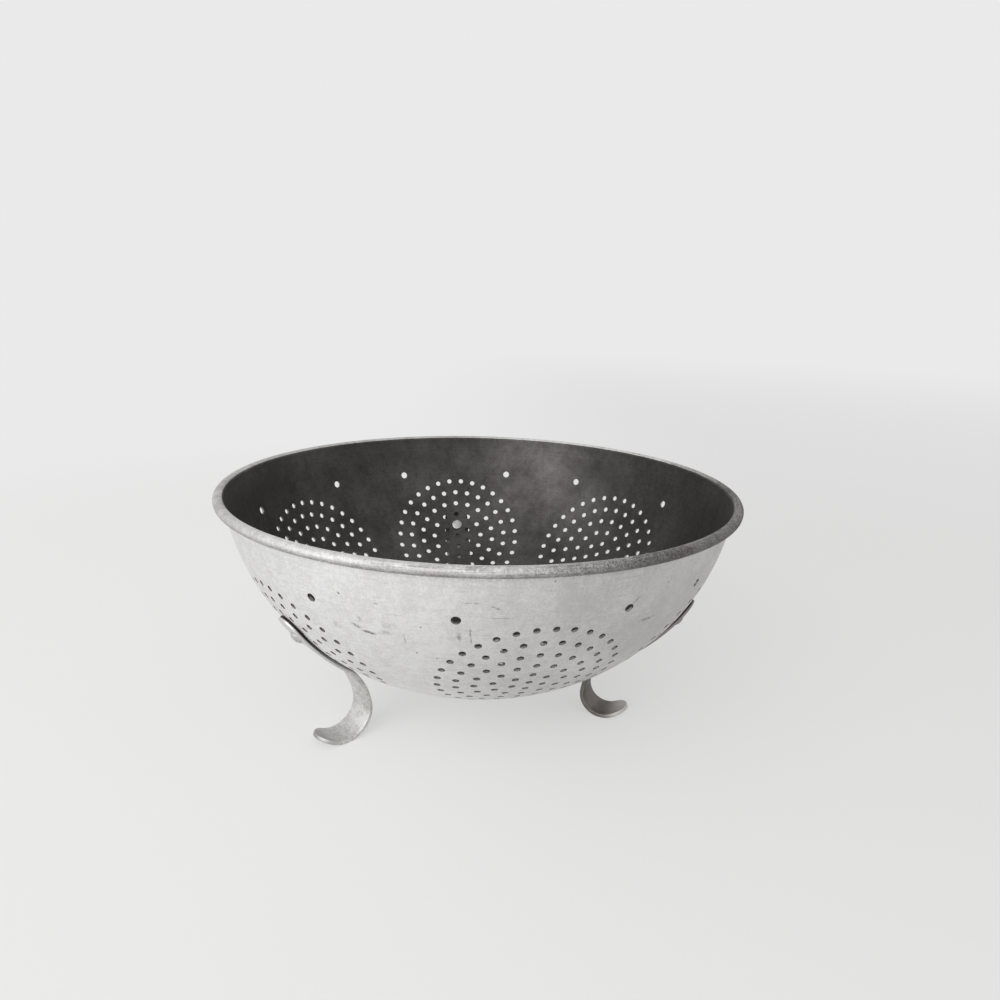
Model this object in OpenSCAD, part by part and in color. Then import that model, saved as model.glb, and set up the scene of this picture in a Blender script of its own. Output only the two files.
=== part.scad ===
// Footed colander: a pierced, near hemispherical bowl of pressed aluminium sheet with
// a rolled rim, standing on three curled straps that are each held by one rivet.
// The bowl's axis is Z, the table is z = 0 and the photographed front looks along +Y.

/* [Bowl] */
// Width across the outside of the rolled rim
rim_w = 260; // [240:1:300]
// Clear height between the table and the bottom of the bowl
clear_h = 14.9; // [13:0.1:30]
// Outer radius of the round wall, seen in section
wall_r = 110.7; // [95:0.1:124]
// Height of the wall's centre of curvature above the middle of the rim
wall_rise = 13; // [8:0.5:20]
// Thickness of the sheet
sheet = 1; // [0.8:0.1:1.2]
// Thickness of the rolled rim
bead_d = 4.8; // [4.2:0.1:7]
// Height of the straight neck under the rim
neck_h = 12; // [4:0.5:20]

/* [Piercing] */
// Diameter of the holes in a rosette
hole_d = 3; // [2:0.1:4]
// Distance from ring to ring in a rosette
ring_gap = 7.65; // [6:0.05:9]
// Number of rings around the middle hole of a rosette
hole_rings = 5; // [1:1:5]
// Diameter of the single holes under the rim
single_d = 4; // [3:0.1:6]
// Depth of the single holes below the middle of the rim
single_drop = 22; // [15:0.5:30]
// Angle from the middle of a rosette to its single holes
single_turn = 16.6; // [12:0.1:22]
// Angle below level of a rosette's middle
rosette_tilt = 41; // [36:0.5:46]

/* [Feet] */
// Width of a foot strap
strap_w = 15; // [10:0.5:20]
// Thickness of a foot strap
strap_t = 2; // [1.5:0.1:3]
// Length of strap above the middle of its rivet
strap_over = 12.5; // [9:0.5:20]
// Depth of the worn flat under each foot
worn = 0.2; // [0.1:0.05:0.5]
// Radius of the sharp bend where a strap leaves the bowl
bend_r = 4; // [3:0.5:8]
// Radius of the slight bow of a leg, between the sharp bend and the curl
leg_r = 38; // [36:1:120]

/* [Left foot] */
// Angle below level where the left strap leaves the bowl
left_leave = 52.8; // [50:0.2:60]
// Outer radius of the left curl
left_curl = 14.1; // [10:0.1:15]
// How much further out than its bend the left curl stands
left_out = 0; // [-2:0.1:5]
// Rise of the left tip
left_rise = 24; // [15:1:50]
// Length of the left tip beyond the curl
left_tip = 8; // [8:0.5:14]

/* [Right foot] */
// Angle below level where the right strap leaves the bowl
right_leave = 62.4; // [50:0.2:64]
// Outer radius of the right curl
right_curl = 11.6; // [10:0.1:13.5]
// How much further out than its bend the right curl stands
right_out = 3.4; // [-2:0.1:5]
// Rise of the right tip
right_rise = 26; // [15:1:50]
// Length of the right tip beyond the curl
right_tip = 8; // [8:0.5:14]

/* [Rear foot] */
// Angle below level where the rear strap leaves the bowl
rear_leave = 57.6; // [50:0.2:64]
// Outer radius of the rear curl
rear_curl = 12.8; // [10:0.1:15]
// How much further out than its bend the rear curl stands
rear_out = 1.7; // [-2:0.1:5]
// Rise of the rear tip
rear_rise = 25; // [15:1:50]
// Length of the rear tip beyond the curl
rear_tip = 8; // [8:0.5:14]

/* [Rivets] */
// Diameter of a rivet's shank
rivet_d = 4; // [3:0.1:4.5]
// Diameter of a rivet's domed head
rivet_head = 8; // [6:0.5:10]
// Height of a rivet's domed head
rivet_head_h = 1.8; // [1.2:0.1:2.5]
// Diameter of the closed end inside the bowl
rivet_tail = 6.4; // [5:0.1:8]
// Height of the closed end inside the bowl
rivet_tail_h = 1; // [0.6:0.1:1.5]

/* [Hidden] */

// Directions of the six rosettes; the steps are uneven, as indexed by hand
ROSETTES = [220.6, 282.8, 337.4, 42, 98.5, 155];
LEFT = ROSETTES[0];
RIGHT = ROSETTES[2];
REAR = ROSETTES[4];
FEET = [LEFT, RIGHT, REAR];

bead_c = (rim_w - bead_d) / 2;
wall_cz = clear_h + wall_r;
rim_z = wall_cz - wall_rise;
neck_a = asin((neck_h + wall_rise) / wall_r);
neck_run = neck_h * tan(neck_a);
wall_cx = bead_c - bead_d / 2 + sheet - neck_run - wall_r * cos(neck_a);
wall_in = wall_r - sheet;
// A piece of a section laps into the next one by this length, set in by this depth
lap_l = 0.25;
lap = 0.02;
bead_n = 20;
// Angle at which the edge of the rolled rim stops, near the wall again
curl_end = -132;
// The holes of a rosette were punched square to a rounder die than the wall
fan_r = 120;
bottom_fan_r = 160;
// The outer ring was indexed a little further round than the others
outer_turn = 6;
// A hole is cut from this far inside the wall's outer face to as far outside it
cut = 6;
single_a = asin((single_drop + wall_rise) / wall_r);
// A rivet takes the place of the first hole above a rosette's middle
rivet_a = rosette_tilt - ring_gap / wall_r * 180 / PI;
rivet_top = strap_t + rivet_head_h;
// Angle below level where the top end of a strap begins
strap_a = rivet_a - strap_over / (wall_r + strap_t / 2) * 180 / PI;
// The ends of a strap are sheared with a radius a little over half its width
end_flat = 0.1;
end_r = strap_w / 2 + end_flat;

function on_arc(cx, cz, r, a) = [cx + r * cos(a), cz + r * sin(a)];

// A stretch of a ring from angle a0 to a1, less than half a turn
module ring_part(cx, cz, r, w, a0, a1) {
  far = 3 * r;
  am = (a0 + a1) / 2;
  intersection() {
    translate([cx, cz])
      difference() {
        circle(r = r + w / 2, $fn = 180);
        circle(r = r - w / 2, $fn = 180);
      }
    polygon([[cx, cz], on_arc(cx, cz, far, a0), on_arc(cx, cz, far, am), on_arc(cx, cz, far, a1)]);
  }
}

// Neck and rolled rim: the outside of the neck becomes the inside of the roll
neck_foot = -neck_a - sheet / 2 / wall_r * 180 / PI;
roll_in = bead_d / 2 - sheet;
rim_outline = concat(
  [on_arc(wall_cx, wall_cz, wall_r - lap, neck_foot)],
  [for (i = [0:bead_n]) on_arc(bead_c, rim_z, roll_in, 180 - i * (180 - curl_end) / bead_n)],
  [for (i = [bead_n:-1:0]) on_arc(bead_c, rim_z, bead_d / 2, 180 - i * (180 - curl_end) / bead_n)],
  [on_arc(wall_cx, wall_cz, wall_in + lap, neck_foot)]);

module bowl_blank() {
  rotate_extrude($fn = 180)
    union() {
      translate([0, wall_cz - wall_r + lap])
        square([wall_cx + sheet, sheet - 2 * lap]);
      ring_part(wall_cx, wall_cz, wall_r - sheet / 2, sheet, -90, -neck_a);
      polygon(rim_outline);
    }
}

module rosette(az, riveted) {
  cx = wall_cx + (wall_r - fan_r) * cos(rosette_tilt);
  cz = wall_cz - (wall_r - fan_r) * sin(rosette_tilt);
  rotate([0, 0, az])
    translate([cx, 0, cz])
      rotate([0, 90 + rosette_tilt, 0])
        fan(fan_r, 180, riveted);
}

// A middle hole with rings of six, twelve, eighteen and so on round it
module fan(r, turn, riveted) {
  hole(hole_d, r);
  for (k = [1:hole_rings])
    for (i = [0:6 * k - 1])
      if (!riveted || k > 1 || i > 0)
        rotate([0, 0, turn + ring_turn(k) + i * 60 / k])
          rotate([0, ring_gap * k / r * 180 / PI, 0])
            hole(hole_d, r);
}

function ring_turn(k) = k == 5 ? outer_turn : 0;

module hole(d, r) {
  translate([0, 0, r - cut])
    cylinder(d = d, h = 2 * cut, $fn = 24);
}

// Square to the wall, at an angle below level
module on_wall(az, a) {
  rotate([0, 0, az])
    translate([wall_cx, 0, wall_cz])
      rotate([0, 90 + a, 0])
        children();
}

module bowl() {
  color("silver")
    difference() {
      bowl_blank();
      for (az = ROSETTES) {
        rosette(az, len(search(az, FEET)) > 0);
        for (turn = [-single_turn, single_turn])
          on_wall(az + turn, single_a)
            hole(single_d, wall_r);
      }
      translate([0, 0, wall_cz - wall_r + bottom_fan_r])
        rotate([180, 0, 0])
          fan(bottom_fan_r, 0, false);
      for (az = FEET)
        on_wall(az, rivet_a)
          hole(rivet_d, wall_r);
    }
}

// A straight stretch of a strap's side, which laps into what it meets at both ends. Between
// two arcs it has no length of its own, and only laps.
module straight(p, dir, len) {
  translate(p)
    rotate(dir)
      translate([-lap_l, lap - strap_t / 2])
        square([len + 2 * lap_l, strap_t - 2 * lap]);
}

// What is cut away round the end of a strap, beyond a point in a direction
module end_cut(p, dir) {
  translate([p[0], 0, p[1]])
    rotate([0, -dir, 0])
      difference() {
        translate([0, -strap_w, -strap_t])
          cube([strap_w, 2 * strap_w, 2 * strap_t]);
        cylinder(r = end_r, h = 3 * strap_t, center = true, $fn = 64);
      }
}

// Angle of a direction, from 0 to 360
function turn_of(v) = (atan2(v[1], v[0]) + 360) % 360;

// Seen from its top end: along the wall, sharply down, a bowed leg, a curl and a straight tip
module foot(az, leave, curl_r, out, rise, tip) {
  // Middle line of the strap on the bowl, and where its round end starts
  rb = wall_r + strap_t / 2;
  end_a = strap_a + end_r / rb * 180 / PI;
  start = on_arc(wall_cx, wall_cz, rb, -end_a);
  turn = on_arc(wall_cx, wall_cz, rb, -leave);
  // Centres of the sharp bend and of the curl
  bend = on_arc(wall_cx, wall_cz, rb + bend_r, -leave);
  rc = curl_r - strap_t / 2;
  curl = [bend[0] + out, curl_r - worn];
  // All three turn the same way, so the leg is an arc round both circles and touches each
  gap = curl - bend;
  far = norm(gap);
  to_bend = leg_r - bend_r;
  to_curl = leg_r - rc;
  along = (to_bend * to_bend - to_curl * to_curl + far * far) / (2 * far);
  across = sqrt(to_bend * to_bend - along * along);
  leg = bend + (along * gap + across * [-gap[1], gap[0]]) / far;
  leg0 = turn_of(bend - leg);
  leg1 = turn_of(curl - leg);
  tip0 = on_arc(curl[0], curl[1], rc, rise - 90);
  tip1 = tip0 + (tip - end_r) * [cos(rise), sin(rise)];
  rotate([0, 0, az])
    difference() {
      rotate([90, 0, 0])
        linear_extrude(height = strap_w, center = true)
          union() {
            ring_part(wall_cx, wall_cz, rb, strap_t, -leave, -strap_a);
            straight(turn, -90 - leave, 0);
            ring_part(bend[0], bend[1], bend_r, strap_t, 180 - leave, leg0);
            straight(on_arc(bend[0], bend[1], bend_r, leg0), leg0 - 270, 0);
            ring_part(leg[0], leg[1], leg_r, strap_t, leg0, leg1);
            straight(on_arc(curl[0], curl[1], rc, leg1), leg1 - 270, 0);
            ring_part(curl[0], curl[1], rc, strap_t, leg1, rise + 270);
            straight(tip0, rise, tip);
          }
      end_cut(start, 90 - end_a);
      end_cut(tip1, rise);
      translate([0, -strap_w, -strap_w])
        cube([rim_w, 2 * strap_w, strap_w]);
      on_wall(0, rivet_a)
        hole(rivet_d, wall_r);
    }
}

module left_foot() {
  color("lightgray")
    foot(LEFT, left_leave, left_curl, left_out, left_rise, left_tip);
}

module right_foot() {
  color("gray")
    foot(RIGHT, right_leave, right_curl, right_out, right_rise, right_tip);
}

module rear_foot() {
  color("darkgray")
    foot(REAR, rear_leave, rear_curl, rear_out, rear_rise, rear_tip);
}

// Solid rivet: domed head on the strap, shank, and closed end inside the bowl
module rivet(az) {
  hr = rivet_head / 2;
  dome = (hr * hr + rivet_head_h * rivet_head_h) / (2 * rivet_head_h);
  dome_a = asin(hr / dome);
  dome_n = 8;
  tail = -sheet - rivet_tail_h;
  edge = rivet_tail_h / 2;
  on_wall(az, rivet_a)
    translate([0, 0, wall_r])
      rotate_extrude($fn = 64)
        polygon(concat(
          [[0, tail], [rivet_tail / 2 - edge, tail], [rivet_tail / 2, tail + edge]],
          [[rivet_tail / 2, -sheet], [rivet_d / 2, -sheet], [rivet_d / 2, strap_t]],
          [for (i = [dome_n:-1:0]) [
            dome * sin(dome_a * i / dome_n),
            rivet_top - dome + dome * cos(dome_a * i / dome_n)]]));
}

module left_rivet() {
  color("whitesmoke")
    rivet(LEFT);
}

module right_rivet() {
  color("gainsboro")
    rivet(RIGHT);
}

module rear_rivet() {
  color("snow")
    rivet(REAR);
}

bowl();
left_foot();
right_foot();
rear_foot();
left_rivet();
right_rivet();
rear_rivet();
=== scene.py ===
import math

import bpy
from mathutils import Matrix, Vector


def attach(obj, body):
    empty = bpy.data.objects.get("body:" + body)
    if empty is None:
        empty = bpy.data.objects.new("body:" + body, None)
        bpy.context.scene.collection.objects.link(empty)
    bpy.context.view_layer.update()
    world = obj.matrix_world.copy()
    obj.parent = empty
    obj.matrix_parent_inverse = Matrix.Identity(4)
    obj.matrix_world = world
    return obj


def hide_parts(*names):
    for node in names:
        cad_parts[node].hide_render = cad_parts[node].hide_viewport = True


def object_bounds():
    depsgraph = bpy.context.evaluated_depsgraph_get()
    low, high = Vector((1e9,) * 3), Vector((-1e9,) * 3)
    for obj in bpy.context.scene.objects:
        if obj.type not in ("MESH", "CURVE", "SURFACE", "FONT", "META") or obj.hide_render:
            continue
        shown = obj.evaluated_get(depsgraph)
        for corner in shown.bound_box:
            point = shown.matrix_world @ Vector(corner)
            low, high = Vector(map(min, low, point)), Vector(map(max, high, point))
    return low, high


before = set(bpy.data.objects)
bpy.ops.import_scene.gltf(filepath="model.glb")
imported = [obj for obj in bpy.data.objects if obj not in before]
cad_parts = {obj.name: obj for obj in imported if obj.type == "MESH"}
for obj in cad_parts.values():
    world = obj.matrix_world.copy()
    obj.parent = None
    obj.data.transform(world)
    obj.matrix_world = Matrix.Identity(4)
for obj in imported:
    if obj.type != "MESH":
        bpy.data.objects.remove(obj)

cad_box = [list(corner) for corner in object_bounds()]
MM = 0.001


# Camera. It stands where the photograph was taken from, in front of the bowl and a
# little above its rim, looks down at it, and is held slightly out of level.
def look(camera, back, height, pitch, yaw, roll):
    pitch, yaw, roll = (math.radians(a) for a in (pitch, yaw, roll))
    ahead = Vector((math.sin(yaw) * math.cos(pitch), math.cos(yaw) * math.cos(pitch), -math.sin(pitch)))
    level = Vector((math.cos(yaw), -math.sin(yaw), 0))
    above = level.cross(ahead)
    right = level * math.cos(roll) + above * math.sin(roll)
    up = above * math.cos(roll) - level * math.sin(roll)
    turned = Matrix((right, up, -ahead)).transposed().to_4x4()
    camera.matrix_world = Matrix.Translation((0, -back, height)) @ turned


bpy.ops.object.camera_add()
camera = bpy.context.active_object
camera.data.sensor_width = 36
camera.data.lens = 27
camera.data.clip_start = 0.01
look(camera, back=0.37634, height=0.20601, pitch=15.053, yaw=1.541, roll=1.815)
bpy.context.scene.camera = camera


# Floor and light. A pale matt table top under a large soft window light from the
# front left, with an even white room round it.
def colour(code):
    """An sRGB hex colour, turned to linear light."""
    parts = [int(code[i:i + 2], 16) / 255 for i in (1, 3, 5)]
    return [c / 12.92 if c <= 0.04045 else ((c + 0.055) / 1.055) ** 2.4 for c in parts] + [1]


def put(tree, kind, inputs=None, **settings):
    """Adds a node with its settings, and fills its inputs with values or with other nodes."""
    node = tree.nodes.new("ShaderNode" + kind)
    for name, value in settings.items():
        setattr(node, name, value)
    for name, value in (inputs or {}).items():
        if isinstance(value, bpy.types.Node):
            value = value.outputs[0]
        if isinstance(value, bpy.types.NodeSocket):
            tree.links.new(value, node.inputs[name])
        else:
            node.inputs[name].default_value = value
    return node


def new_material(name):
    """A material with an empty Principled surface, its node tree and that shader."""
    material = bpy.data.materials.new(name)
    material.use_nodes = True
    tree = material.node_tree
    tree.nodes.clear()
    shader = put(tree, "BsdfPrincipled")
    put(tree, "OutputMaterial", {"Surface": shader})
    return material, tree, shader


def seen_rays(tree):
    """1 for what the camera sees itself, in metal or through a gap, and 0 for the light that falls on things."""
    ray = put(tree, "LightPath").outputs
    seen = put(tree, "Math", {0: ray["Is Camera Ray"], 1: ray["Is Glossy Ray"]}, operation="MAXIMUM")
    return put(tree, "Math", {0: seen, 1: ray["Is Transmission Ray"]}, operation="MAXIMUM")


BACKDROP = colour("#eaeaea")
FAR_FROM_WINDOW = colour("#dedede")

bpy.ops.mesh.primitive_plane_add(size=8)
floor = bpy.context.active_object
floor.name = "floor"
table_top, tree, shader = new_material("matt_white_table_top")
shader.inputs["Base Color"].default_value = colour("#ebeae9")
shader.inputs["Roughness"].default_value = 0.8
shader.inputs["Specular IOR Level"].default_value = 0.2
place = put(tree, "TexCoord").outputs["Object"]
away = put(tree, "VectorMath", {0: place}, operation="LENGTH").outputs["Value"]
# Painted light and shade: for what is seen, the floor partly glows with a pale colour. Within 0.35 m of the object
# it is six tenths glow, which paints the object's shadow fainter, and from 0.8 m out it is all glow. That colour is
# painted darker towards the right, away from the window.
fade = put(tree, "MapRange", {"Value": away, 1: 0.35, 2: 0.8, 3: 0.6, 4: 1.0}, interpolation_type="SMOOTHSTEP")
fade = put(tree, "Math", {0: fade, 1: seen_rays(tree)}, operation="MULTIPLY")
right = put(tree, "SeparateXYZ", {0: place}).outputs["X"]
painted_shade_right = put(tree, "MapRange", {"Value": right, 1: -0.25, 2: 0.4}, interpolation_type="SMOOTHSTEP")
near = put(tree, "MapRange", {"Value": away, 1: 3.0, 2: 0.6}, interpolation_type="SMOOTHSTEP")
painted_shade_right = put(tree, "Math", {0: painted_shade_right, 1: near}, operation="MULTIPLY")
tone = put(tree, "Mix", {0: painted_shade_right, 6: BACKDROP, 7: FAR_FROM_WINDOW}, data_type="RGBA").outputs[2]
pale = put(tree, "Emission", {"Color": tone, "Strength": 1.0})
mixed = put(tree, "MixShader", {"Fac": fade, 1: shader, 2: pale})
tree.links.new(mixed.outputs[0], tree.nodes["Material Output"].inputs["Surface"])
floor.data.materials.append(table_top)

world = bpy.data.worlds.new("white_room")
bpy.context.scene.world = world
world.use_nodes = True
tree = world.node_tree
tree.nodes.clear()
room = put(tree, "Background", {"Color": colour("#ffffff"), "Strength": 0.7})
wall = put(tree, "Background", {"Color": BACKDROP, "Strength": 1.0})
mixed = put(tree, "MixShader", {"Fac": seen_rays(tree), 1: room, 2: wall})
put(tree, "OutputWorld", {"Surface": mixed})

bpy.ops.object.light_add(type="AREA", location=(-0.8, -1.3, 0.7))
window = bpy.context.active_object
window.name = "window_light"
window.data.shape = "RECTANGLE"
window.data.size = 1.6
window.data.size_y = 1.6
window.data.energy = 22
aim = Vector((0, 0, 0.06)) - window.location
window.rotation_euler = aim.to_track_quat("-Z", "Y").to_euler()

bpy.context.scene.view_settings.view_transform = "Standard"


# Bowl. One disc of 1 mm aluminium sheet, pressed to a round bowl, with its edge rolled
# outwards into a hollow bead. Six rosettes, one more in the bottom and twelve single
# holes are punched from outside before the feet go on.
RIM_TOP = cad_box[1][2] / MM
RIM_W = 260
WALL_R = 110.7
WALL_RISE = 13
SHEET = 1
BEAD_D = 4.8
NECK_H = 12
CURL_END = -132
HOLE_D = 3
HOLE_PITCH = 7.65
HOLE_RINGS = 5
SINGLE_D = 4
SINGLE_DROP = 22
SINGLE_TURN = 16.6
ROSETTE_TILT = 41
ROSETTES = [220.6, 282.8, 337.4, 42, 98.5, 155]
FEET = {"left": ROSETTES[0], "right": ROSETTES[2], "rear": ROSETTES[4]}
FAN_R = 120
BOTTOM_FAN_R = 160
OUTER_TURN = 6
RIVET_D = 4

rim_z = RIM_TOP - BEAD_D / 2
bead_c = (RIM_W - BEAD_D) / 2
wall_cz = rim_z + WALL_RISE
neck_a = math.asin((NECK_H + WALL_RISE) / WALL_R)
wall_cx = bead_c - BEAD_D / 2 + SHEET - NECK_H * math.tan(neck_a) - WALL_R * math.cos(neck_a)
rivet_a = math.radians(ROSETTE_TILT) - HOLE_PITCH / WALL_R


def on_arc(cx, cz, r, a):
    return cx + r * math.cos(a), cz + r * math.sin(a)


def steps(first, last, count):
    return [first + (last - first) * i / count for i in range(1, count + 1)]


def deselect():
    bpy.ops.object.select_all(action="DESELECT")


def disc(name, radius, height, sides):
    """Adds a filled circle and leaves its edge selected, ready to be drawn out."""
    deselect()
    bpy.ops.mesh.primitive_circle_add(vertices=sides, radius=radius * MM, fill_type="TRIFAN")
    piece = bpy.context.active_object
    piece.name = name
    bpy.ops.object.mode_set(mode="EDIT")
    bpy.ops.transform.translate(value=(0, 0, height * MM))
    bpy.ops.mesh.select_mode(type="EDGE")
    bpy.ops.mesh.select_all(action="DESELECT")
    bpy.ops.mesh.select_non_manifold()
    return piece


def draw_out(start, rings):
    """Extrudes the selected edge, ring by ring, to each radius and height."""
    r, z = start
    for next_r, next_z in rings:
        bpy.ops.mesh.extrude_region_move(TRANSFORM_OT_translate={"value": (0, 0, (next_z - z) * MM)})
        bpy.ops.transform.resize(value=(next_r / r, next_r / r, 1), center_override=(0, 0, 0))
        r, z = next_r, next_z


def face_outwards(piece):
    """Points the faces out of a round piece whose first face is at its bottom."""
    bpy.ops.mesh.select_all(action="SELECT")
    bpy.ops.mesh.remove_doubles(threshold=0.001 * MM)
    bpy.ops.mesh.normals_make_consistent(inside=False)
    bpy.ops.object.mode_set(mode="OBJECT")
    lowest = min(piece.data.polygons, key=lambda face: face.center.z)
    if lowest.normal.z > 0:
        piece.data.flip_normals()


def finish_with(piece, kind, **settings):
    """Adds a modifier and applies it."""
    deselect()
    bpy.context.view_layer.objects.active = piece
    piece.select_set(True)
    modifier = piece.modifiers.new(kind.lower(), kind)
    for name, value in settings.items():
        setattr(modifier, name, value)
    bpy.ops.object.modifier_apply(modifier=modifier.name)


foot_ring = (wall_cx, wall_cz - WALL_R)
wall_rings = [on_arc(wall_cx, wall_cz, WALL_R, a) for a in steps(-math.pi / 2, -neck_a, 36)]
neck_rings = [(wall_rings[-1][0] + k * NECK_H * math.tan(neck_a), wall_rings[-1][1] + k * NECK_H)
              for k in steps(0, 1, 4)]
roll_rings = [on_arc(bead_c, rim_z, BEAD_D / 2 - SHEET, a)
              for a in steps(math.pi, math.radians(CURL_END), 24)]
bowl = disc("bowl_body", foot_ring[0], foot_ring[1], 216)
draw_out(foot_ring, wall_rings + neck_rings + roll_rings)
face_outwards(bowl)


def wall_place(tree):
    """Where a point is on the wall: its azimuth, its angle below level, and its distances, in mm, from the bowl's
    axis and above the table."""
    place = put(tree, "TexCoord").outputs["Object"]
    x, y, z = put(tree, "SeparateXYZ", {0: put(tree, "VectorMath", {0: place, 1: [1 / MM] * 3},
                                              operation="MULTIPLY")}).outputs
    azimuth = put(tree, "Math", {0: y, 1: x}, operation="ARCTAN2")
    flat = put(tree, "VectorMath", {0: put(tree, "CombineXYZ", {0: x, 1: y})}, operation="LENGTH").outputs["Value"]
    return {"object": place, "azimuth": azimuth, "radius": flat, "height": z,
            "below": put(tree, "Math", {0: offset(tree, z, -1, wall_cz), 1: offset(tree, flat, 1, -wall_cx)},
                         operation="ARCTAN2")}


def offset(tree, value, times, plus):
    return put(tree, "Math", {0: value, 1: times, 2: plus}, operation="MULTIPLY_ADD")


def ramp(tree, value, low, high, to_low=0.0, to_high=1.0):
    """Turns low..high of a value smoothly into to_low..to_high."""
    return put(tree, "MapRange", {"Value": value, 1: low, 2: high, 3: to_low, 4: to_high},
               interpolation_type="SMOOTHSTEP")


def noise(tree, place, size, detail=3, stretch=(1, 1, 1), roughness=0.55):
    """Noise whose patches are size mm across, longer where stretch is over 1."""
    scaled = put(tree, "Mapping", {"Vector": place, "Scale": [1 / (size * MM * s) for s in stretch]})
    return put(tree, "TexNoise", {"Vector": scaled, "Scale": 1, "Detail": detail, "Roughness": roughness})


def both(tree, a, b, how="MULTIPLY"):
    return put(tree, "Math", {0: a, 1: b}, operation=how)


def blend(tree, amount, first, second):
    """Goes from the first colour to the second."""
    node = put(tree, "Mix", {0: amount}, data_type="RGBA")
    for socket, value in ((6, first), (7, second)):
        if isinstance(value, str):
            node.inputs[socket].default_value = colour(value)
        else:
            tree.links.new(value, node.inputs[socket])
    return node.outputs[2]


# Marks of use on the front of the wall: azimuth, angle below level, length, width, tilt, darkness
MARKS = [
    (248.8, 24.5, 9, 2.2, -8, 1.0),
    (246.4, 23.2, 7, 2.4, -32, 0.55),
    (252.4, 23.8, 8, 3.4, 10, 0.3),
    (247.6, 21.0, 4, 3.0, -50, 0.3),
    (268.8, 22.6, 12, 1.0, -86, 0.7),
    (266.7, 22.9, 7, 2.8, -80, 0.45),
    (244.4, 15.3, 1.4, 1.4, 0, 0.9),
    (258.1, 28.9, 1.2, 1.2, 0, 0.8),
    (269.0, 14.1, 7, 1.1, 0, 0.5),
    (273.2, 15.2, 6, 1.0, -30, 0.6),
    (274.3, 17.7, 14, 0.5, 0, 0.45),
    (306.1, 23.3, 12, 2.6, 4, 0.5),
    (300.7, 16.6, 5, 0.8, 50, 0.6),
    (251.5, 16.2, 4, 1.4, 0, 0.3),
    (241.6, 24.5, 6, 4.5, 20, 0.28),
    (256.2, 25.0, 7.5, 0.9, -88, 0.4),
    (253.0, 21.6, 5, 4.0, 0, 0.25),
]


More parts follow.
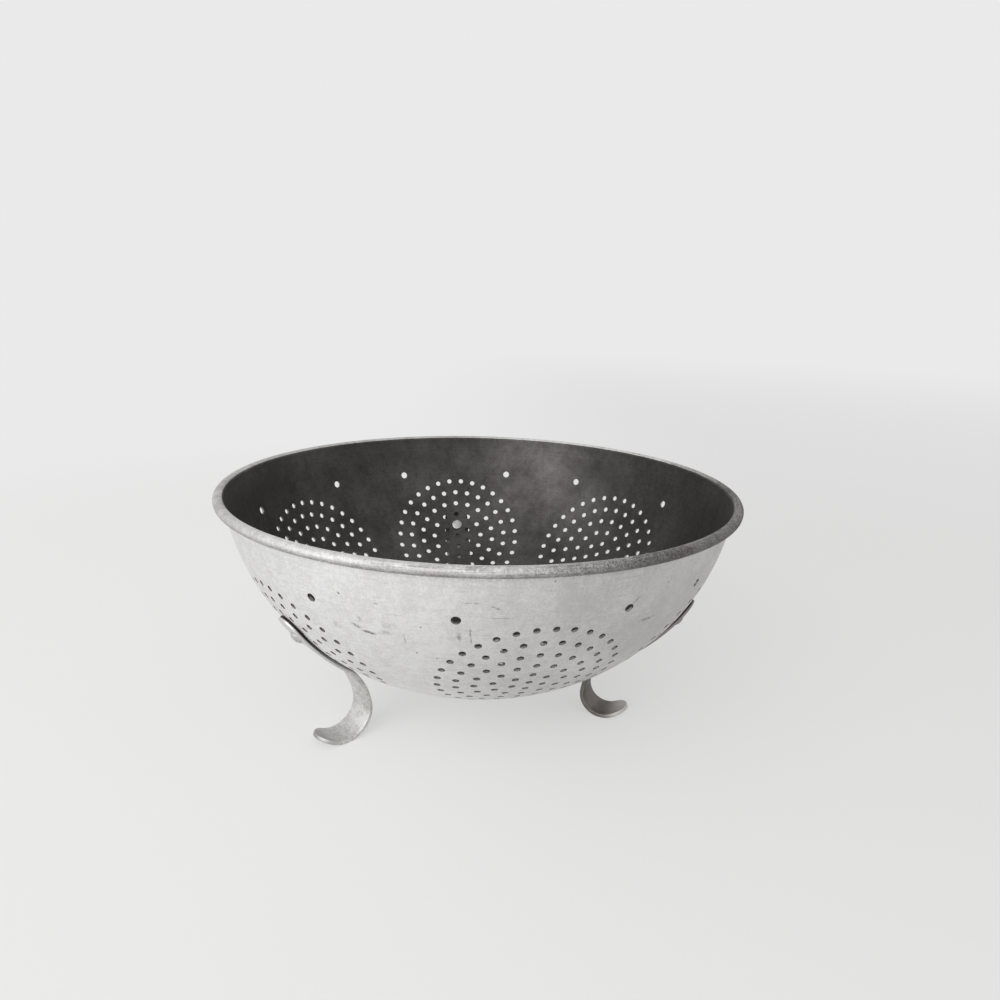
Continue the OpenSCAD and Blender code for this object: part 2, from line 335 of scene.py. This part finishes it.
def used_aluminium(name, clean, dull, dark_tone, roughness, marks=(), painted_shade_tone=None, rolled=False, strap=None, tarnish=0.0):
    """Soft aluminium, pressed or bent and then washed and scoured for years. It has lost its shine: a pale,
    fine-grained grey with watery stains, dirty where a scourer doesn't reach. The same dark layer also holds
    painted shade along a strap's edge next to the bowl, and darkens just below the bead and under it. A grey
    side tone, when given, is painted shade on the side away from the window and towards the bottom."""
    material, tree, shader = new_material(name)
    wall = wall_place(tree)
    place = wall["object"]
    stain = noise(tree, place, 30, 5, roughness=0.55)
    grain = noise(tree, place, 0.7, 2)
    streak = noise(tree, place, 9, 4, stretch=(1, 1, 4))
    ring = put(tree, "TexNoise", {"W": offset(tree, wall["below"], WALL_R / 1.3, 0), "Scale": 1, "Detail": 3},
               noise_dimensions="1D")
    mottle = noise(tree, place, 3.2, 5, roughness=0.7)
    shade = both(tree, ramp(tree, stain, 0.35, 0.68, 0, 0.5), ramp(tree, streak, 0.4, 0.75, 0, 0.35), "ADD")
    shade = both(tree, shade, ramp(tree, ring, 0.3, 0.7, -0.08, 0.1), "ADD")
    shade = both(tree, shade, ramp(tree, grain, 0.3, 0.7, -0.3, 0.4), "ADD")
    shade = both(tree, shade, ramp(tree, mottle, 0.35, 0.7, -0.15, 0.45), "ADD")
    base = blend(tree, shade, clean, dull)
    # Painted shade and reflection: the metal is coloured greyer on the right, the side away from the window, and
    # towards the bottom, where the wall reflects the shadowed table. It is also a little greyer over the back and
    # left, and noise keeps it uneven. On the rim the right-hand part is narrower.
    if painted_shade_tone:
        side = put(tree, "Math", {0: offset(tree, wall["azimuth"], 1, -math.radians(-28))}, operation="COSINE")
        cloud = both(tree, ramp(tree, noise(tree, place, 45, 4), 0.3, 0.7, 0.85, 1.1), ramp(tree, shade, 0, 1, 0.8, 1.1))
        where = ramp(tree, side, 0.45 if rolled else -0.1, 1.0)
        where = both(tree, where, ramp(tree, wall["height"], 36, 18, 0, 0.7), "MAXIMUM")
        where = both(tree, where, ramp(tree, side, -0.15, -0.6, 0, 0.3), "MAXIMUM")
        base = blend(tree, both(tree, where, cloud), base, painted_shade_tone)
    spots = put(tree, "TexVoronoi", {"Vector": put(tree, "Mapping", {"Vector": place, "Scale": [1 / (7 * MM)] * 3}),
                                     "Scale": 1})
    chosen = put(tree, "SeparateColor", {0: spots.outputs["Color"]}).outputs[0]
    grime_and_painted_shade = both(tree, ramp(tree, spots.outputs["Distance"], 0.075, 0.03, 0, 0.6), ramp(tree, chosen, 0.6, 0.65))
    ragged = ramp(tree, noise(tree, place, 1.6, 4, roughness=0.7), 0.32, 0.6)
    across = put(tree, "CombineXYZ", {0: offset(tree, wall["azimuth"], WALL_R, 0),
                                      1: offset(tree, wall["below"], -WALL_R, 0)})
    for azimuth, below, length, width, turn, dark in marks:
        azimuth -= 360 if azimuth > 180 else 0
        spot = put(tree, "Mapping", {"Vector": across, "Rotation": (0, 0, math.radians(turn)),
                                     "Location": (math.radians(azimuth) * WALL_R, -math.radians(below) * WALL_R, 0),
                                     "Scale": (length / 2, width / 2, 1)}, vector_type="TEXTURE")
        far = put(tree, "VectorMath", {0: spot}, operation="LENGTH").outputs["Value"]
        mark = both(tree, ramp(tree, far, 1.0, 0.25, 0, dark), ragged)
        grime_and_painted_shade = both(tree, grime_and_painted_shade, mark, "MAXIMUM")
    if marks:
        fine = put(tree, "Mapping", {"Vector": across, "Rotation": (0, 0, math.radians(24)), "Scale": (1 / 11, 1 / 0.4, 1)})
        fine = ramp(tree, put(tree, "TexNoise", {"Vector": fine, "Scale": 1, "Detail": 1}), 0.66, 0.74, 0, 0.3)
        grime_and_painted_shade = both(tree, grime_and_painted_shade, both(tree, fine, ragged), "MAXIMUM")
    if rolled:
        out = offset(tree, wall["radius"], 1, -bead_c)
        up = offset(tree, wall["height"], 1, -rim_z)
        turn = put(tree, "Math", {0: up, 1: out}, operation="ARCTAN2")
        # The bead is darker and grainier on its underside.
        low = ramp(tree, turn, math.radians(25), math.radians(-35), 0, 1)
        underside_band = both(tree, low, ramp(tree, noise(tree, place, 0.9, 5, stretch=(1.6, 1.6, 1), roughness=0.75),
                                    0.3, 0.62, 0.05, 0.55))
        grime_and_painted_shade = both(tree, grime_and_painted_shade, underside_band, "MAXIMUM")
        outer = both(tree, ramp(tree, turn, math.radians(95), math.radians(45)), ramp(tree, side, 0.25, 0.95, 0.05, 0.9))
        pitted = ramp(tree, noise(tree, place, 0.8, 5, roughness=0.8), 0.38, 0.66)
        grime_and_painted_shade = both(tree, grime_and_painted_shade, both(tree, outer, pitted), "MAXIMUM")
        lines = put(tree, "CombineXYZ", {0: offset(tree, wall["azimuth"], bead_c / 16, 0),
                                         1: offset(tree, turn, BEAD_D / 2 / 0.7, 0)})
        lines = ramp(tree, put(tree, "TexNoise", {"Vector": lines, "Scale": 1, "Detail": 4}), 0.44, 0.64, 0, 0.55)
        scored = both(tree, ramp(tree, side, -0.1, 0.7, 0.2, 1), ramp(tree, ragged, 0, 1, 0.3, 1))
        grime_and_painted_shade = both(tree, grime_and_painted_shade, both(tree, lines, scored), "MAXIMUM")
    elif strap:
        # Painted light and shade: the curl's tip and the strap's top take the tones of their foot, which are matched
        # to how the light falls on it.
        tip = both(tree, ramp(tree, wall["radius"], strap["bend"] + 5, strap["bend"] + 16),
                   ramp(tree, wall["height"], 30, 22))
        base = blend(tree, tip, base, strap["tip"])
        base = blend(tree, ramp(tree, wall["height"], 30, 48), base, strap["top"])
        # Painted shade: a dark line along the strap's edge next to the bowl, where the gap between them is in
        # shadow, darker towards the top.
        gap = put(tree, "VectorMath", {0: put(tree, "CombineXYZ", {0: offset(tree, wall["radius"], 1, -wall_cx),
                                                                   1: offset(tree, wall["height"], 1, -wall_cz)})},
                  operation="LENGTH").outputs["Value"]
        near = both(tree, ramp(tree, gap, WALL_R + 1.5, WALL_R + 0.8), ramp(tree, wall["height"], 34, 62, 0.45, 1))
        grime_and_painted_shade = both(tree, grime_and_painted_shade, near, "MAXIMUM")
    elif marks:
        # Darker just below the bead, in a ragged band.
        near = ramp(tree, wall["height"], rim_z - 5, rim_z - 1.5, 0, 0.5)
        grime_and_painted_shade = both(tree, grime_and_painted_shade, both(tree, near, ragged), "MAXIMUM")
    if tarnish:
        grime_and_painted_shade = both(tree, grime_and_painted_shade, ramp(tree, noise(tree, place, 26, 4), 0.2, 0.8, 0, tarnish), "MAXIMUM")
    shader.inputs["Metallic"].default_value = 1
    tree.links.new(blend(tree, grime_and_painted_shade, base, dark_tone), shader.inputs["Base Color"])
    rough = both(tree, ramp(tree, stain, 0.3, 0.7, roughness - 0.04, roughness + 0.08),
                 ramp(tree, grime_and_painted_shade, 0, 1, 0, 0.2), "ADD")
    tree.links.new(rough.outputs[0], shader.inputs["Roughness"])
    relief = both(tree, both(tree, grain, both(tree, ring, 0.8), "ADD"), both(tree, grime_and_painted_shade, -3), "ADD")
    bump = put(tree, "Bump", {"Height": relief, "Strength": 0.2, "Distance": 0.1 * MM})
    tree.links.new(bump.outputs[0], shader.inputs["Normal"])
    return material


outside, inside, punched, rim = range(4)
# The grey side tones given to the outside and to the rim are painted shade.
bowl.data.materials.append(used_aluminium("scoured_aluminium_outside", "#f4f4f4", "#e2e1e1", "#3b3835", 0.5, MARKS,
                                          painted_shade_tone="#c4c2c1"))
# Painted shade: the inside is coloured dark all over, as if in shade, with cloudy tarnish on top.
bowl.data.materials.append(used_aluminium("aluminium_inside_tarnish_and_painted_shade", "#5f5d5b", "#4c4a49", "#312f2e", 0.5,
                                          tarnish=0.5))
bowl.data.materials.append(used_aluminium("punched_aluminium_edge", "#989693", "#737170", "#343230", 0.5))
bowl.data.materials.append(used_aluminium("rolled_aluminium_rim", "#dededd", "#c9c7c6", "#605d5b", 0.7,
                                          painted_shade_tone="#6f6c6a", rolled=True))
finish_with(bowl, "SOLIDIFY", thickness=SHEET * MM, offset=-1, use_even_offset=True, material_offset=inside,
            material_offset_rim=rim)


def cutter(diameter, length=12, sides=16):
    """A round punch, standing on the Z axis with its middle at the origin."""
    deselect()
    bpy.ops.mesh.primitive_cylinder_add(vertices=sides, radius=diameter / 2 * MM, depth=length * MM)
    punch = bpy.context.active_object
    punch.data.materials.append(bowl.data.materials[punched])
    return punch


def fan(fan_r, turn, riveted):
    """Where the punch goes for each hole of a rosette, seen from the centre of the fan."""
    places = [Matrix.Translation((0, 0, fan_r * MM))]
    for k in range(1, HOLE_RINGS + 1):
        for i in range(6 * k):
            if riveted and k == 1 and i == 0:
                continue
            ring_turn = OUTER_TURN if k == HOLE_RINGS else 0
            around = Matrix.Rotation(math.radians(turn + ring_turn + 60 * i / k), 4, "Z")
            tilted = Matrix.Rotation(HOLE_PITCH * k / fan_r, 4, "Y")
            places.append(around @ tilted @ places[0])
    return places


def square_to_wall(azimuth, below_level, cx=wall_cx, cz=wall_cz):
    """Turns the Z axis to point out through the wall, at an angle below level."""
    return (Matrix.Rotation(math.radians(azimuth), 4, "Z") @ Matrix.Translation((cx * MM, 0, cz * MM))
            @ Matrix.Rotation(math.pi / 2 + below_level, 4, "Y"))


single_a = math.asin((SINGLE_DROP + WALL_RISE) / WALL_R)
tilt = math.radians(ROSETTE_TILT)
fan_centre = on_arc(wall_cx, wall_cz, WALL_R - FAN_R, -tilt)
small, single, rivet_hole = [], [], []
at_wall = Matrix.Translation((0, 0, WALL_R * MM))
for azimuth in ROSETTES:
    riveted = azimuth in FEET.values()
    towards = square_to_wall(azimuth, tilt, *fan_centre)
    small += [towards @ place for place in fan(FAN_R, 180, riveted)]
    single += [square_to_wall(azimuth + turn, single_a) @ at_wall for turn in (-SINGLE_TURN, SINGLE_TURN)]
    if riveted:
        rivet_hole.append(square_to_wall(azimuth, rivet_a) @ at_wall)
down = Matrix.Translation((0, 0, (foot_ring[1] + BOTTOM_FAN_R) * MM)) @ Matrix.Rotation(math.pi, 4, "X")
small += [down @ place for place in fan(BOTTOM_FAN_R, 0, False)]

punches = []
for diameter, places in ((HOLE_D, small), (SINGLE_D, single), (RIVET_D, rivet_hole)):
    pattern = cutter(diameter)
    for place in places:
        punch = pattern.copy()
        punch.data = pattern.data.copy()
        punch.matrix_world = place
        bpy.context.scene.collection.objects.link(punch)
        punches.append(punch)
    bpy.data.objects.remove(pattern)
deselect()
for punch in punches:
    punch.select_set(True)
bpy.context.view_layer.objects.active = punches[0]
bpy.ops.object.join()
punches = bpy.context.active_object
bpy.ops.object.transform_apply(location=True, rotation=True, scale=True)
finish_with(bowl, "BOOLEAN", operation="DIFFERENCE", object=punches, solver="MANIFOLD")
bpy.data.objects.remove(punches)
bpy.ops.object.mode_set(mode="EDIT")
bpy.ops.mesh.select_all(action="SELECT")
bpy.ops.mesh.remove_doubles(threshold=0.005 * MM)
bpy.ops.object.mode_set(mode="OBJECT")

for face in bowl.data.polygons:
    r = math.hypot(face.center.x, face.center.y) / MM
    z = face.center.z / MM
    if math.hypot(r - bead_c, z - rim_z) < BEAD_D / 2 + 0.2 and r > bead_c - BEAD_D / 2 + 0.4:
        face.material_index = rim
bpy.ops.object.shade_smooth_by_angle(angle=math.radians(40))
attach(bowl, "root")
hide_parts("bowl")

# Feet. Three strips of 15 by 2 mm aluminium with rounded ends, each drilled for its rivet
# and bent by hand: along the wall, sharply down from it, and round into a curl that the
# colander stands on. The curls are worn flat where they touch the table.
STRAP_W = 15
STRAP_T = 2
STRAP_OVER = 12.5
END_R = STRAP_W / 2
WORN = 0.2
BEND_R = 4
LEG_R = 38
BENDS = {"left": (52.8, 14.1, 0, 24, 8), "right": (62.4, 11.6, 3.4, 26, 8), "rear": (57.6, 12.8, 1.7, 25, 8)}

# Painted light and shade: each foot gets its own copy of the tones. The left foot, which the window lights, is pale,
# the rear one darker, and the right one, which is in shade, dark brown-grey. Its top and its tip take tones of their
# own, matched to the light on them.
LIT_AND_SHADED_TONES = {"left": ("#dfdedc", "#bbb9b6", "#35322f"), "right": ("#7d7873", "#67625e", "#2f2b28"),
         "rear": ("#bdbbb8", "#94918d", "#35322f")}
LIT_AND_SHADED_TOPS = {"left": "#d9d9d8", "right": "#8f8a86", "rear": "#c9c7c5"}
LIT_AND_SHADED_TIPS = {"left": "#a9a8a6", "right": "#c9c4c0", "rear": "#c0beba"}

strap_a = rivet_a - STRAP_OVER / (WALL_R + STRAP_T / 2)


def arc(centre, r, first, last, step=1.0):
    """Points along an arc, about step mm apart, without its first one."""
    count = max(4, math.ceil(abs(last - first) * r / step))
    return [on_arc(*centre, r, a) for a in steps(first, last, count)]


def strap_route(leave, curl_r, out, rise, tip):
    """The middle line of a strap from its top end to its tip, outwards and upwards in mm."""
    leave, rise = math.radians(leave), math.radians(rise)
    middle_r = WALL_R + STRAP_T / 2
    bend = Vector(on_arc(wall_cx, wall_cz, middle_r + BEND_R, -leave))
    curl_r -= STRAP_T / 2
    curl = Vector((bend.x + out, curl_r + STRAP_T / 2 - WORN))
    gap = curl - bend
    to_bend, to_curl = LEG_R - BEND_R, LEG_R - curl_r
    along = (to_bend ** 2 - to_curl ** 2 + gap.length_squared) / (2 * gap.length)
    across = math.sqrt(to_bend ** 2 - along ** 2)
    leg = bend + (gap * along + Vector((-gap.y, gap.x)) * across) / gap.length
    leg_0, leg_1 = (math.atan2(c.y - leg.y, c.x - leg.x) % (2 * math.pi) for c in (bend, curl))
    route = [on_arc(wall_cx, wall_cz, middle_r, -strap_a)]
    route += arc((wall_cx, wall_cz), middle_r, -strap_a, -leave)
    route += arc(bend, BEND_R, math.pi - leave, leg_0, 0.5)
    route += arc(leg, LEG_R, leg_0, leg_1)
    route += arc(curl, curl_r, leg_1, rise + math.pi * 3 / 2)
    end = route[-1]
    route += [(end[0] + tip * k * math.cos(rise), end[1] + tip * k * math.sin(rise)) for k in steps(0, 1, 8)]
    return route


def strap_blank(name, length):
    """A flat strip along X with rounded ends and worn edges, cut across every millimetre or so so that it can bend.
    Its thickness is along Y."""
    deselect()
    bpy.ops.mesh.primitive_cube_add(size=1)
    strap = bpy.context.active_object
    strap.name = name
    bpy.ops.object.mode_set(mode="EDIT")
    bpy.ops.transform.resize(value=(length * MM, STRAP_T * MM, STRAP_W * MM))
    bpy.ops.transform.translate(value=(length / 2 * MM, 0, 0))
    bpy.ops.mesh.select_mode(type="EDGE")
    bpy.ops.mesh.select_all(action="DESELECT")
    bpy.ops.object.mode_set(mode="OBJECT")
    for edge in strap.data.edges:
        a, b = (strap.data.vertices[i].co for i in edge.vertices)
        edge.select = abs(a.y - b.y) > STRAP_T / 2 * MM
    bpy.ops.object.mode_set(mode="EDIT")
    bpy.ops.mesh.bevel(offset=(END_R - 0.01) * MM, segments=12)
    bpy.ops.mesh.select_all(action="DESELECT")
    bpy.ops.object.mode_set(mode="OBJECT")
    for edge in strap.data.edges:
        a, b = (strap.data.vertices[i].co for i in edge.vertices)
        edge.select = abs(a.y - b.y) < 0.1 * MM
    bpy.ops.object.mode_set(mode="EDIT")
    bpy.ops.mesh.bevel(offset=0.35 * MM, segments=3)
    cuts = math.ceil(length / 1.2)
    for k in range(1, cuts):
        bpy.ops.mesh.select_all(action="SELECT")
        bpy.ops.mesh.bisect(plane_co=(length * k / cuts * MM, 0, 0), plane_no=(1, 0, 0))
    bpy.ops.object.mode_set(mode="OBJECT")
    return strap


for side, azimuth in FEET.items():
    route = strap_route(*BENDS[side])
    length = sum(math.dist(a, b) for a, b in zip(route, route[1:]))
    strap = strap_blank(side + "_strap", length)
    path = bpy.data.curves.new(side + "_route", "CURVE")
    path.dimensions = "2D"
    line = path.splines.new("POLY")
    line.points.add(len(route) - 1)
    for point, (x, z) in zip(line.points, route):
        point.co = (x * MM, z * MM, 0, 1)
    guide = bpy.data.objects.new(side + "_route", path)
    bpy.context.scene.collection.objects.link(guide)
    bpy.context.view_layer.update()
    finish_with(strap, "CURVE", object=guide, deform_axis="POS_X")
    bpy.data.objects.remove(guide)
    strap.data.transform(Matrix.Rotation(math.radians(azimuth), 4, "Z") @ Matrix.Rotation(math.pi / 2, 4, "X"))
    bpy.ops.object.mode_set(mode="EDIT")
    bpy.ops.mesh.select_all(action="SELECT")
    bpy.ops.mesh.bisect(plane_co=(0, 0, 0), plane_no=(0, 0, 1), use_fill=True, clear_inner=True,
                        threshold=0.001 * MM)
    bpy.ops.object.mode_set(mode="OBJECT")
    bpy.ops.object.shade_smooth_by_angle(angle=math.radians(40))
    strap.data.materials.append(used_aluminium(side + "_strap_aluminium", *LIT_AND_SHADED_TONES[side], 0.52,
                                               strap={"bend": on_arc(wall_cx, 0, WALL_R, math.radians(BENDS[side][0]))[0],
                                                      "tip": LIT_AND_SHADED_TIPS[side], "top": LIT_AND_SHADED_TOPS[side]}))
    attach(strap, "root")
    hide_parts(side + "_foot")


# Rivets. Three solid aluminium rivets, put in from outside: a low domed head lies on each
# strap, and the shank is hammered to a flat button inside the bowl.
RIVET_HEAD = 8
RIVET_HEAD_H = 1.8
RIVET_TAIL = 6.4
RIVET_TAIL_H = 1

head_r = RIVET_HEAD / 2
dome_r = (head_r ** 2 + RIVET_HEAD_H ** 2) / (2 * RIVET_HEAD_H)
dome_a = math.asin(head_r / dome_r)
tail_z = -SHEET - RIVET_TAIL_H
shank_r = RIVET_D / 2
button = [(RIVET_TAIL / 2 * k, tail_z + 0.25 * k ** 2 * RIVET_TAIL_H) for k in (0.35, 0.6, 0.8, 0.93)]
button += [(RIVET_TAIL / 2, tail_z + RIVET_TAIL_H * 0.45), (RIVET_TAIL / 2, tail_z + RIVET_TAIL_H * 0.8)]
shank = [(RIVET_TAIL / 2 - 0.1, -SHEET), (shank_r, -SHEET), (shank_r, STRAP_T), (head_r - 0.12, STRAP_T)]
head = [(dome_r * math.sin(a), STRAP_T + RIVET_HEAD_H - dome_r * (1 - math.cos(a)))
        for a in steps(dome_a, 0.06, 9)]
rivet = disc("rivet", button[0][0], button[0][1], 40)
draw_out(button[0], button[1:] + shank + head)
bpy.ops.mesh.edge_face_add()
bpy.ops.mesh.poke()
face_outwards(rivet)
bpy.ops.object.shade_smooth_by_angle(angle=math.radians(40))
for side, azimuth in FEET.items():
    piece = rivet.copy()
    piece.data = rivet.data.copy()
    piece.name = side + "_set_rivet"
    bpy.context.scene.collection.objects.link(piece)
    piece.data.transform(square_to_wall(azimuth, rivet_a) @ at_wall)
    # Painted light and shade: each rivet is coloured with the top tone of its foot, pale on the left and dark on the
    # right.
    piece.data.materials.append(used_aluminium(side + "_rivet_aluminium", LIT_AND_SHADED_TOPS[side], "#a09e9c", "#4c4a48", 0.4))
    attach(piece, "root")
    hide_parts(side + "_rivet")
bpy.data.objects.remove(rivet)
